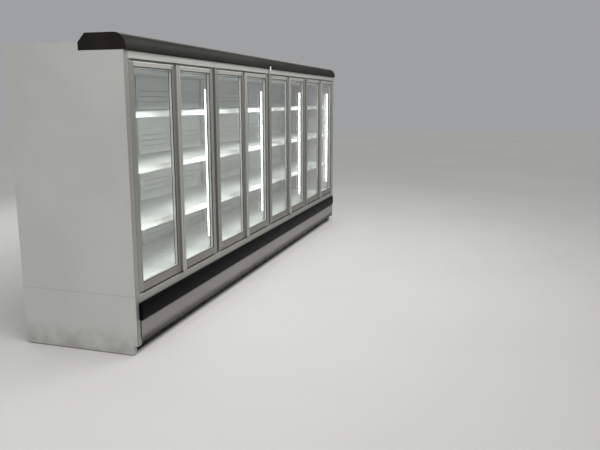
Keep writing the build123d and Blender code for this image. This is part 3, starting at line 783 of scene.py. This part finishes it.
def light_ends():
    """Caps that close the bowed light covers at both ends."""
    low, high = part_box("mullion_lights")
    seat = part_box("mullions")[1].y
    radius, reach = bow(LIGHT_HALF_WIDTH, LIGHT_RISE)
    centre_y = seat + LIGHT_RISE - radius
    shape = Shape()
    for place in (-2, -1, 0, 1, 2):
        x = max(-INNER_END, min(INNER_END, place * CASE_MIDDLE))
        start, end = 90 - reach, 90 + reach
        corner = []
        if abs(place) == 2:
            start, end = (start, 90) if place < 0 else (90, end)
            corner = [(x, seat)]
        outline = arc((x, centre_y), radius, start, end, 14) + corner
        shape.prism(outline, "z", low.z - LIGHT_CAP, low.z)
        shape.prism(outline, "z", high.z, high.z + LIGHT_CAP)
    shape.piece("light_end_caps", WHITE_PLASTIC, "ticket_strip", bevel=0.0008)


# Small parts of the front
def bumper_ends():
    """Rounded black caps that carry the bumper past its ends."""
    shape = Shape()
    trim = TRIM_LOW.y - HAIR
    for side in (-1, 1):
        rings = []
        for reach, inset in BUMPER_CAP_STEPS:
            low, high = BUMPER_LOW.z + inset, BUMPER_HIGH.z - inset
            radius, angle = bow((high - low) / 2, BUMPER_RISE)
            centre = (BUMPER_LOW.y + inset + radius, (low + high) / 2)
            outline = arc(centre, radius, 180 + angle, 180 - angle, 12) + [(trim, high), (trim, low)]
            rings.append([(side * (INNER_END + reach), y, z) for y, z in outline])
        shape.loft(rings)
    shape.piece("bumper_end_caps", BUMPER, "bumper_black", smooth=True)


def canopy_clip():
    """The clip over the joint of the canopies, hooked under their lip."""
    face, bottom = CANOPY_LOW.y, HEADER_HIGH.z
    front, hook = face - CLIP_THICKNESS, face + CLIP_HOOK
    low, high = across(bottom, CLIP_HEIGHT)
    under = bottom - HAIR
    outline = [(front, low), (front, high), (face, high), (face, under), (hook, under)]
    outline += [(hook, under - CLIP_THICKNESS), (face, under - CLIP_THICKNESS), (face, low)]
    clip = Shape()
    clip.prism(outline, "x", *across(0.0, CLIP_WIDTH))
    clip.piece("canopy_joint_clip", WHITE_PLASTIC, "ticket_strip", bevel=0.0005)


def trim_feet():
    """Flat covers on the feet of the end trims."""
    feet = Shape()
    for side in (-1, 1):
        x = sorted(side * (INNER_END + reach) for reach in TRIM_FOOT_REACH)
        feet.box(x, (TRIM_LOW.y - TRIM_FOOT_THICKNESS, TRIM_LOW.y), TRIM_FOOT_HEIGHTS)
    feet.piece("trim_foot_covers", ALUMINIUM_LEVEL, "anodised_silver", bevel=0.0006)


def hairline_joints():
    """Joints in the header over the middle of each case, and in the deck between the doors."""
    joints = Shape()
    y = (HEADER_LOW.y - HAIR, HEADER_LOW.y)
    z = (HEADER_LOW.z + HEADER_JOINT_INSET, HEADER_HIGH.z - HEADER_JOINT_INSET)
    for x in (-CASE_MIDDLE, CASE_MIDDLE):
        joints.box(across(x, HEADER_JOINT), y, z)
    y = (DECK_LOW.y, DECK_HIGH.y)
    z = (DECK_HIGH.z, DECK_HIGH.z + HAIR)
    for start, end in CASES:
        for x in steps_between(start, end, DOOR_PITCH)[1:-1]:
            joints.box(across(x, DECK_JOINT), y, z)
    joints.piece("hairline_joints", RUBBER, "bumper_black")


def foot_nuts():
    """Lock nuts on the stems of the feet, under the base rails."""
    low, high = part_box("base_rails")
    shape = Shape()
    for side in (-1, 1):
        for x in (FOOT_INSET, INNER_END / 2, INNER_END - FOOT_INSET):
            for y in (low.y + BASE_RAIL_WIDTH / 2, high.y - BASE_RAIL_WIDTH / 2):
                shape.prism(hexagon((side * x, y), NUT_RADIUS), "z", low.z - NUT_HEIGHT, low.z)
    shape.piece("foot_lock_nuts", ZINC, "zinc_steel", bevel=0.001)


def front_screws():
    """Screws of the hinge plates, mullions and kick plates."""
    shape = Shape()
    lower, upper = SILL_HIGH.z + HINGE_PLATE, HEADER_LOW.z - HINGE_PLATE
    for x, y, _ in HINGES.values():
        for offset in (-HINGE_SCREW_OFFSET, HINGE_SCREW_OFFSET):
            shape.screw((x + offset, y, lower), (0, 0, 1), SMALL_SCREW)
            shape.screw((x + offset, y, upper), (0, 0, -1), SMALL_SCREW)
    low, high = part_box("mullions")
    for x in (-CASE_MIDDLE, 0.0, CASE_MIDDLE):
        for inset in MULLION_SCREW_INSETS:
            shape.screw((x, low.y, low.z + inset), (0, -1, 0))
            shape.screw((x, low.y, high.z - inset), (0, -1, 0))
    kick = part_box("kick_plates")[0]
    for start, end in CASES:
        for x in steps_between(start + KICK_SCREW_INSET, end - KICK_SCREW_INSET, KICK_SCREW_PITCH):
            shape.screw((x, kick.y, kick.z + KICK_SCREW_RISE), (0, -1, 0), KICK_SCREW)
    shape.piece("front_screws", ZINC, "zinc_steel", smooth=True)


# Doors
class Leaf:
    """Where a door's leaf and its window lie at rest."""

    def __init__(self, number):
        self.body = f"door_{number}"
        low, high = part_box(f"{self.body}_glass")
        self.window_x = (low.x + PANE_BITE, high.x - PANE_BITE)
        self.window_z = (low.z + PANE_BITE, high.z - PANE_BITE)
        self.x = (self.window_x[0] - STILE, self.window_x[1] + STILE)
        self.z = (self.window_z[0] - BOTTOM_RAIL, self.window_z[1] + TOP_RAIL)
        self.front = low.y - PANE_INSET
        self.rear = self.front + LEAF_THICKNESS
        self.hinge_x, self.hinge_y, _ = HINGES[self.body]
        self.right_hand_free = self.hinge_x < (low.x + high.x) / 2

    def from_free_edge(self, *insets):
        """Places along X, given as distances inside the edge that swings."""
        if self.right_hand_free:
            return sorted(self.x[1] - inset for inset in insets)
        return sorted(self.x[0] + inset for inset in insets)


def door_gasket(leaf):
    """The soft magnetic seal on the back of a door, and the wiper lip at its free edge."""
    shape = Shape()
    shape.window_ring(leaf.x, leaf.z, [(inset, leaf.rear + depth) for inset, depth in GASKET_SECTION])
    depths = [leaf.rear + depth for depth in WIPER_DEPTHS]
    heights = (leaf.z[0] + WIPER_INSET, leaf.z[1] - WIPER_INSET)
    shape.box(leaf.from_free_edge(*WIPER_REACH), depths, heights)
    shape.piece(f"{leaf.body}_gasket", RUBBER, "bumper_black", leaf.body)


def wedge(edge, pane, widths):
    """The section of a wedge between a frame's edge and a pane, as wide as given at each."""
    return [(0, edge), (0, pane), (widths[1], pane), (widths[0], edge)]


def door_glazing(leaf):
    """Black wedges that hold the panes, and the bright bar between them."""
    first = leaf.front + PANE_INSET
    between = (first + PANE_THICKNESS, first + PANE_THICKNESS + PANE_SPACING)
    second = between[1] + PANE_THICKNESS
    wedges = Shape()
    outer = wedge(leaf.front + OUTER_WEDGE_INSET, first, OUTER_WEDGE_WIDTHS)
    inner = wedge(leaf.rear - INNER_WEDGE_INSET, second, INNER_WEDGE_WIDTHS)
    for section in (outer, inner):
        wedges.window_ring(leaf.window_x, leaf.window_z, section)
    wedges.piece(f"{leaf.body}_glazing_wedges", RUBBER, "bumper_black", leaf.body)
    bar = Shape()
    low, high = between[0] + HAIR, between[1] - HAIR
    section = [(0, low), (SPACER_WIDTH, low), (SPACER_WIDTH, high), (0, high)]
    bar.window_ring(leaf.window_x, leaf.window_z, section)
    bar.piece(f"{leaf.body}_spacer_bar", SPACER, "anodised_silver", leaf.body)


def door_fittings(leaf):
    """End caps on the grip, bushes on the hinge pins, and the butt joints of the frame."""
    bottom, top = leaf.z
    caps = Shape()
    x = leaf.from_free_edge(0.0, GRIP_REACH)
    y = (leaf.front - GRIP_DEPTH + GRIP_CAP_STEP, leaf.front)
    caps.box(x, y, (top, top + GRIP_CAP))
    caps.box(x, y, (bottom - GRIP_CAP, bottom))
    caps.piece(f"{leaf.body}_grip_caps", DARK_PLASTIC, "bumper_black", leaf.body, bevel=0.0008)
    bushes = Shape()
    inner, outer = PIN_RADIUS + BUSH_PLAY, PIN_RADIUS + BUSH_REACH
    ring = [(inner, 0), (outer, 0), (outer, BUSH_HEIGHT), (inner, BUSH_HEIGHT), (inner, 0)]
    for z in (bottom - BUSH_HEIGHT - HAIR, top + HAIR):
        bushes.turned((leaf.hinge_x, leaf.hinge_y, z), (0, 0, 1), ring, sides=24, closed_ends=False)
    bushes.piece(f"{leaf.body}_hinge_bushes", WHITE_PLASTIC, "ticket_strip", leaf.body, smooth=True)
    joints = Shape()
    lower_rail = (bottom + BUTT_JOINT_INSET, leaf.window_z[0])
    upper_rail = (leaf.window_z[1], top - BUTT_JOINT_INSET)
    for x in leaf.window_x:
        for z in (lower_rail, upper_rail):
            for y in (leaf.front - HAIR / 2, leaf.rear - HAIR / 2):
                joints.box(across(x, BUTT_JOINT), (y, y + HAIR), z)
    joints.piece(f"{leaf.body}_frame_joints", RUBBER, "bumper_black", leaf.body)


dress_nodes()
side_panel("left", -1)
side_panel("right", 1)
rear_skins()
roof_seams()
slotted_back()
honeycomb()
light_ends()
bumper_ends()
canopy_clip()
trim_feet()
hairline_joints()
foot_nuts()
front_screws()
for number in DOORS:
    leaf = Leaf(number)
    door_gasket(leaf)
    door_glazing(leaf)
    door_fittings(leaf)

# Studio. The camera's place and turn come from the photo's perspective, and the view is enlarged.
CAMERA_PLACE = (-5.990, -2.574, 1.630)
CAMERA_YAW = 17.092
CAMERA_PITCH = -10.946
PHOTO_LENS = 27.3
ENLARGEMENT = 1.42
FLOOR_REACH = 30.0
SKY_COLOUR = (0.97, 0.98, 1.0, 1.0)
SKY_LIGHT = 0.36


def studio_floor():
    reach = FLOOR_REACH
    mesh = bpy.data.meshes.new("floor")
    corners = [(-reach, -reach, 0), (reach, -reach, 0), (reach, reach, 0), (-reach, reach, 0)]
    mesh.from_pydata(corners, [], [(0, 1, 2, 3)])
    mesh.materials.append(mottled("studio_floor", linear(186, 185, 182), linear(182, 181, 178), 0.8, 0.4))
    new_object("floor", mesh)


def place_light(name, kind, place, target, power):
    data = bpy.data.lights.new(name, kind)
    data.energy = power
    light = new_object(name, data)
    light.location = place
    light.rotation_euler = (Vector(target) - Vector(place)).to_track_quat("-Z", "Y").to_euler()
    return data


def soft_light(name, place, target, size, power):
    data = place_light(name, "AREA", place, target, power)
    data.shape = "RECTANGLE"
    data.size, data.size_y = size


def studio_sky():
    world = bpy.data.worlds.new("studio")
    world.use_nodes = True
    background = world.node_tree.nodes["Background"]
    background.inputs["Color"].default_value = SKY_COLOUR
    background.inputs["Strength"].default_value = SKY_LIGHT
    bpy.context.scene.world = world


def studio_lights():
    sun = place_light("sun", "SUN", (-3.0, -4.0, 6.5), (0.0, 0.0, 0.0), 1.5)
    sun.angle = math.radians(50)
    soft_light("overhead", (-0.5, -1.9, 3.5), (-0.5, -0.6, 1.4), (6.5, 1.2), 130)
    soft_light("near_side", (-6.5, -1.5, 3.2), (-2.0, -0.2, 0.9), (2.5, 2.5), 45)
    soft_light("behind", (1.0, 4.2, 3.4), (0.0, 0.4, 1.0), (5.0, 2.0), 80)


def photo_camera():
    data = bpy.data.cameras.new("camera")
    data.lens = PHOTO_LENS * ENLARGEMENT
    camera = new_object("camera", data)
    yaw, pitch = math.radians(CAMERA_YAW), math.radians(CAMERA_PITCH)
    ahead = Vector((math.cos(pitch) * math.cos(yaw), math.cos(pitch) * math.sin(yaw), math.sin(pitch)))
    camera.location = CAMERA_PLACE
    camera.rotation_euler = ahead.to_track_quat("-Z", "Y").to_euler()
    bpy.context.scene.camera = camera


studio_floor()
studio_sky()
studio_lights()
photo_camera()
bpy.context.scene.view_settings.view_transform = "Standard"
